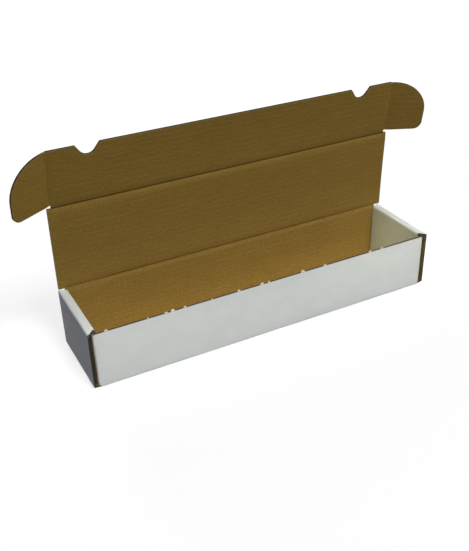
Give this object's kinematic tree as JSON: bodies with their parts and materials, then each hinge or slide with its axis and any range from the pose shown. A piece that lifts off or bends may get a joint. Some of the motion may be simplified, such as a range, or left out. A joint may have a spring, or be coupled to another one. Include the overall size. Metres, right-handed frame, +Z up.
{
  "type": "card storage box",
  "caption": "Long folding corrugated box for standing cards, with rolled ends, a hinged lid, a notched tuck flap and side ears that slide into corner slits.",
  "frame": {"origin": "middle of the base's underside, on the surface that the box stands on", "axes": "+X along the box, -Y the front where the tuck flap closes, +Z up"},
  "size_m": [0.523, 0.1002, 0.2414],
  "materials": {
    "white_liner": "matt white-coated liner paper",
    "kraft_liner": "plain brown kraft liner paper",
    "fluting": "rough brown fluting paper",
    "crease": "board crushed along a fold, white outside"
  },
  "bodies": {
    "tray": {"back_left_corner_flap_fluting": "fluting", "back_left_corner_flap_kraft_liner": "kraft_liner", "back_left_corner_flap_white_liner": "white_liner", "back_right_corner_flap_fluting": "fluting", "back_right_corner_flap_kraft_liner": "kraft_liner", "back_right_corner_flap_white_liner": "white_liner", "back_wall_fluting": "fluting", "back_wall_kraft_liner": "kraft_liner", "back_wall_white_liner": "white_liner", "base_fluting": "fluting", "base_folds": "crease", "base_kraft_liner": "kraft_liner", "base_white_liner": "white_liner", "corner_folds": "crease", "end_roll_folds": "crease", "front_left_corner_flap_fluting": "fluting", "front_left_corner_flap_kraft_liner": "kraft_liner", "front_left_corner_flap_white_liner": "white_liner", "front_right_corner_flap_fluting": "fluting", "front_right_corner_flap_kraft_liner": "kraft_liner", "front_right_corner_flap_white_liner": "white_liner", "front_wall_fluting": "fluting", "front_wall_kraft_liner": "kraft_liner", "front_wall_white_liner": "white_liner", "left_end_inner_fluting": "fluting", "left_end_inner_kraft_liner": "kraft_liner", "left_end_inner_white_liner": "white_liner", "left_end_outer_fluting": "fluting", "left_end_outer_kraft_liner": "kraft_liner", "left_end_outer_white_liner": "white_liner", "left_end_top_fluting": "fluting", "left_end_top_kraft_liner": "kraft_liner", "left_end_top_white_liner": "white_liner", "right_end_inner_fluting": "fluting", "right_end_inner_kraft_liner": "kraft_liner", "right_end_inner_white_liner": "white_liner", "right_end_outer_fluting": "fluting", "right_end_outer_kraft_liner": "kraft_liner", "right_end_outer_white_liner": "white_liner", "right_end_top_fluting": "fluting", "right_end_top_kraft_liner": "kraft_liner", "right_end_top_white_liner": "white_liner"},
    "lid": {"lid_crease": "crease", "lid_fluting": "fluting", "lid_kraft_liner": "kraft_liner", "lid_white_liner": "white_liner"},
    "tuck_flap": {"tuck_flap_crease": "crease", "tuck_flap_fluting": "fluting", "tuck_flap_kraft_liner": "kraft_liner", "tuck_flap_white_liner": "white_liner"},
    "left_ear": {"left_ear_crease": "crease", "left_ear_fluting": "fluting", "left_ear_kraft_liner": "kraft_liner", "left_ear_white_liner": "white_liner"},
    "right_ear": {"right_ear_crease": "crease", "right_ear_fluting": "fluting", "right_ear_kraft_liner": "kraft_liner", "right_ear_white_liner": "white_liner"}
  },
  "joints": [
    {"name": "lid_hinge", "type": "hinge", "parent": "tray", "child": "lid", "pos_m": [0, 0.0489, 0.07295], "axis": [-1, 0, 0], "range_deg": [-88, 92]},
    {"name": "tuck_flap_hinge", "type": "hinge", "parent": "lid", "child": "tuck_flap", "pos_m": [0, 0.04539, 0.17349], "axis": [1, 0, 0], "range_deg": [-6.7, 83.3]},
    {"name": "left_ear_hinge", "type": "hinge", "parent": "tuck_flap", "child": "left_ear", "pos_m": [-0.21645, 0.04539, 0.17349], "axis": [0, -0.1513, 0.9885], "range_deg": [-25, 65]},
    {"name": "right_ear_hinge", "type": "hinge", "parent": "tuck_flap", "child": "right_ear", "pos_m": [0.21645, 0.04539, 0.17349], "axis": [0, 0.1513, -0.9885], "range_deg": [-18, 72]}
  ]
}
